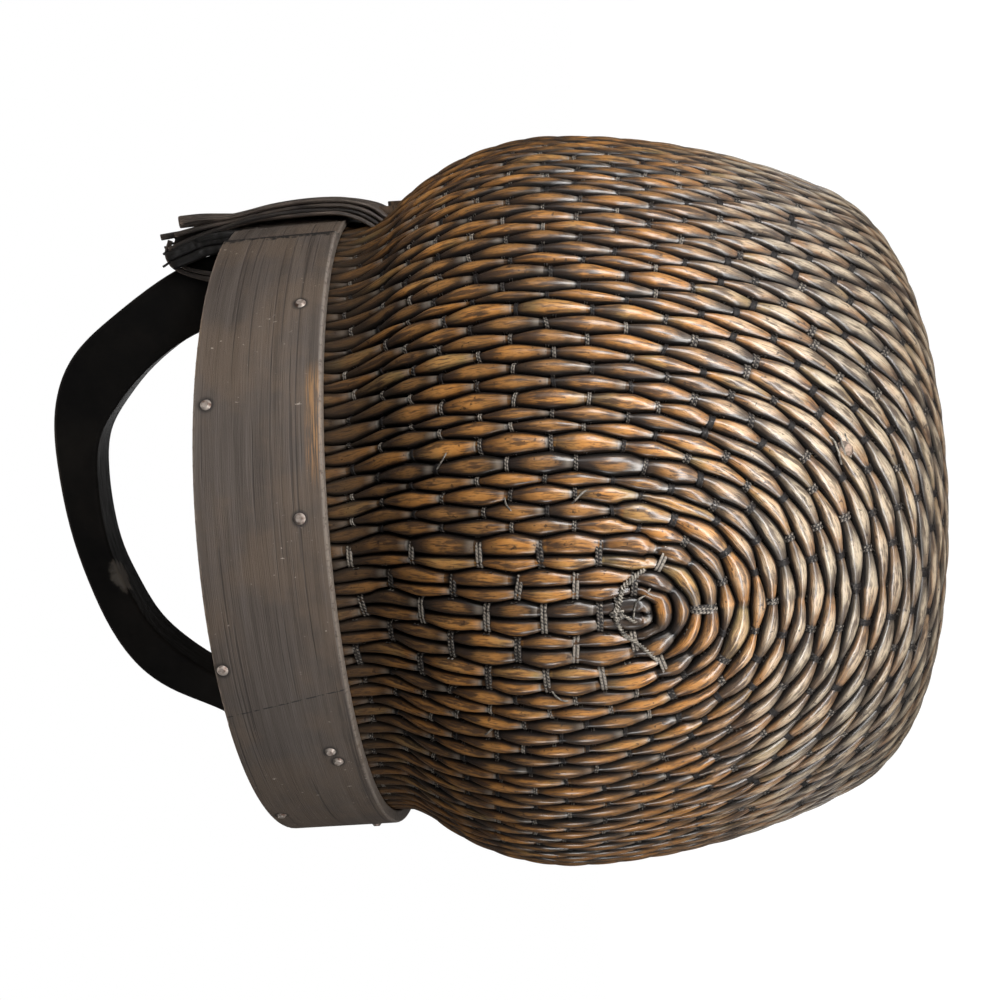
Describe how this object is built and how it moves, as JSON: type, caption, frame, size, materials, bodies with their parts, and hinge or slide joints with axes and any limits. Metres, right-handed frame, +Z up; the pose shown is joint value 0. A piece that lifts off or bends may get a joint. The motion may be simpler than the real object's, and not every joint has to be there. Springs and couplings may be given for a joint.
{
  "type": "rice basket",
  "caption": "Pot-bellied woven willow rice basket with a wide bentwood rim and a dark bent wooden bail handle lashed inside it.",
  "frame": {"origin": "middle of the worn flat under the base, on the surface the basket stands on", "axes": "+Z up out of the mouth, X along the line between the handle's feet, -Y the front with the weave's start"},
  "size_m": [0.3576, 0.3576, 0.4237],
  "materials": {
    "willow": "varnished, worn",
    "rim_wood": "matt, weathered",
    "handle_wood": "matt, blackened",
    "bark": "matt, fibrous",
    "nails": "worn"
  },
  "bodies": {
    "root": {"woven_body": "willow", "rim_band": "rim_wood", "bail_handle": "handle_wood", "right_lash_near_loop": "bark", "right_lash_near_strip": "bark", "right_lash_far_loop": "bark", "right_lash_far_strip": "bark", "right_foot_strap": "bark", "left_lash_near_loop": "bark", "left_lash_near_strip": "bark", "left_lash_far_loop": "bark", "left_lash_far_strip": "bark", "left_foot_strap": "bark", "rim_nails": "nails"}
  },
  "joints": []
}
